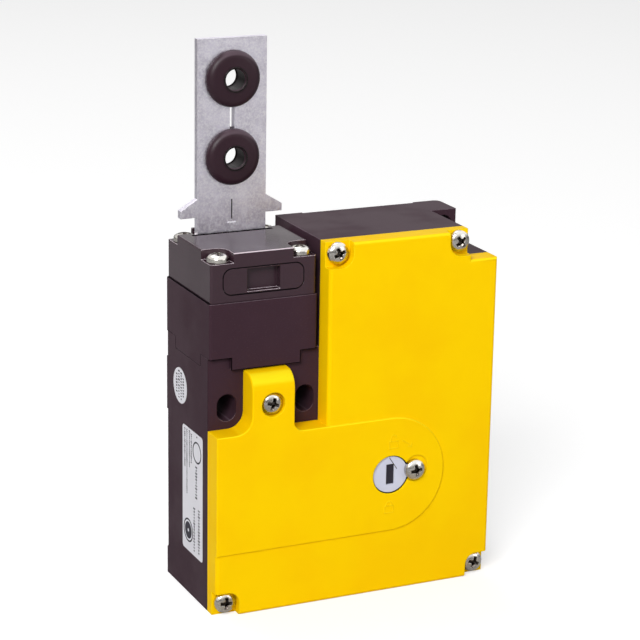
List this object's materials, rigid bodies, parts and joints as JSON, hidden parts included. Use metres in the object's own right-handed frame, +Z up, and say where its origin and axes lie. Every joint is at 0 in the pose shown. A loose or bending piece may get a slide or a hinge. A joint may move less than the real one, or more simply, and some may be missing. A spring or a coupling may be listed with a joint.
{
  "type": "tongue interlock switch",
  "caption": "Guard-locking safety switch: hollow housing with yellow cover, turnable head with cam, tongue on rubber grommets, solenoid lock and a key release.",
  "frame": {"origin": "middle of the outline at the height of the flat bottom", "axes": "+Z up along the tongue, +Y to the mounting face at the back, the cover faces -Y, +X to the right seen from the front"},
  "size_m": [0.0804, 0.0372, 0.148],
  "materials": {
    "black_plastic": "fine-grained black thermoplastic",
    "yellow_plastic": "satin yellow thermoplastic",
    "black_rubber": "black rubber",
    "white_label": "white printed foil",
    "zinc_steel": "bright zinc plate",
    "bright_steel": "bright steel",
    "tongue_steel": "stamped stainless steel",
    "dark_steel": "blackened steel",
    "block_plastic": "pale glass-filled plastic",
    "contact_brass": "bare brass",
    "copper_winding": "enamelled copper winding under tape",
    "cam_plastic": "natural acetal",
    "release_plastic": "pale lavender-grey plastic"
  },
  "bodies": {
    "switch_body": {"housing": "black_plastic", "cover": "yellow_plastic", "cover_gasket": "black_rubber", "round_sticker": "white_label", "rating_label": "white_label", "conduit_plug": "black_plastic", "cover_screws": "zinc_steel", "release_seal_screw": "zinc_steel", "head_screws": "zinc_steel", "head_base": "black_plastic", "head_cap": "black_plastic", "slot_plug": "black_plastic", "cam_pin": "bright_steel", "plunger_seal": "black_rubber", "contact_block": "block_plastic", "upper_left_contact": "contact_brass", "upper_right_contact": "contact_brass", "lower_left_contact": "contact_brass", "lower_right_contact": "contact_brass", "terminal_screws": "zinc_steel", "plunger_spring": "bright_steel", "lock_guide": "block_plastic", "solenoid_yoke": "zinc_steel", "solenoid_bobbin": "block_plastic", "solenoid_coil": "copper_winding", "solenoid_core": "bright_steel", "armature_spring": "bright_steel", "release_ring": "black_rubber", "monitor_switch": "black_plastic", "terminal_strip": "block_plastic", "strip_screws": "zinc_steel"},
    "tongue": {"tongue_plate": "tongue_steel", "tongue_grommets": "black_rubber", "tongue_sleeves": "dark_steel"},
    "cam": {"cam_wheel": "cam_plastic"},
    "plunger": {"drive_plunger": "cam_plastic", "upper_contact_bridge": "contact_brass", "lower_contact_bridge": "contact_brass"},
    "armature": {"armature": "bright_steel", "lock_pin": "bright_steel"},
    "lock": {"lock_slide": "bright_steel"},
    "release": {"release_spindle": "release_plastic", "release_clip": "bright_steel"}
  },
  "joints": [
    {"name": "tongue_slide", "type": "slide", "parent": "switch_body", "child": "tongue", "axis": [0, 0, 1], "range_m": [0, 0.02]},
    {"name": "cam_turn", "type": "hinge", "parent": "switch_body", "child": "cam", "pos_m": [-0.0252, 0.0031, 0.084], "axis": [1, 0, 0], "range_deg": [0, 143.74]},
    {"name": "plunger_slide", "type": "slide", "parent": "switch_body", "child": "plunger", "axis": [0, 0, -1], "range_m": [0, 0.003], "deforming": ["plunger_spring"]},
    {"name": "armature_slide", "type": "slide", "parent": "switch_body", "child": "armature", "axis": [0, 0, 1], "range_m": [0, 0.004], "stiffness_N_per_m": 300, "springref_m": -0.002, "deforming": ["armature_spring"]},
    {"name": "lock_shift", "type": "slide", "parent": "switch_body", "child": "lock", "axis": [1, 0, 0], "range_m": [0, 0.004]},
    {"name": "release_turn", "type": "hinge", "parent": "switch_body", "child": "release", "pos_m": [0.0098, -0.0163, 0.0333], "axis": [0, -1, 0], "range_deg": [0, 90]}
  ],
  "couplings": [
    {"joint": "cam_turn", "follows": "tongue_slide", "rad_per_m": 125},
    {"joint": "plunger_slide", "follows": "tongue_slide", "ratio": 0.15},
    {"joint": "lock_shift", "follows": "armature_slide", "ratio": 1}
  ]
}
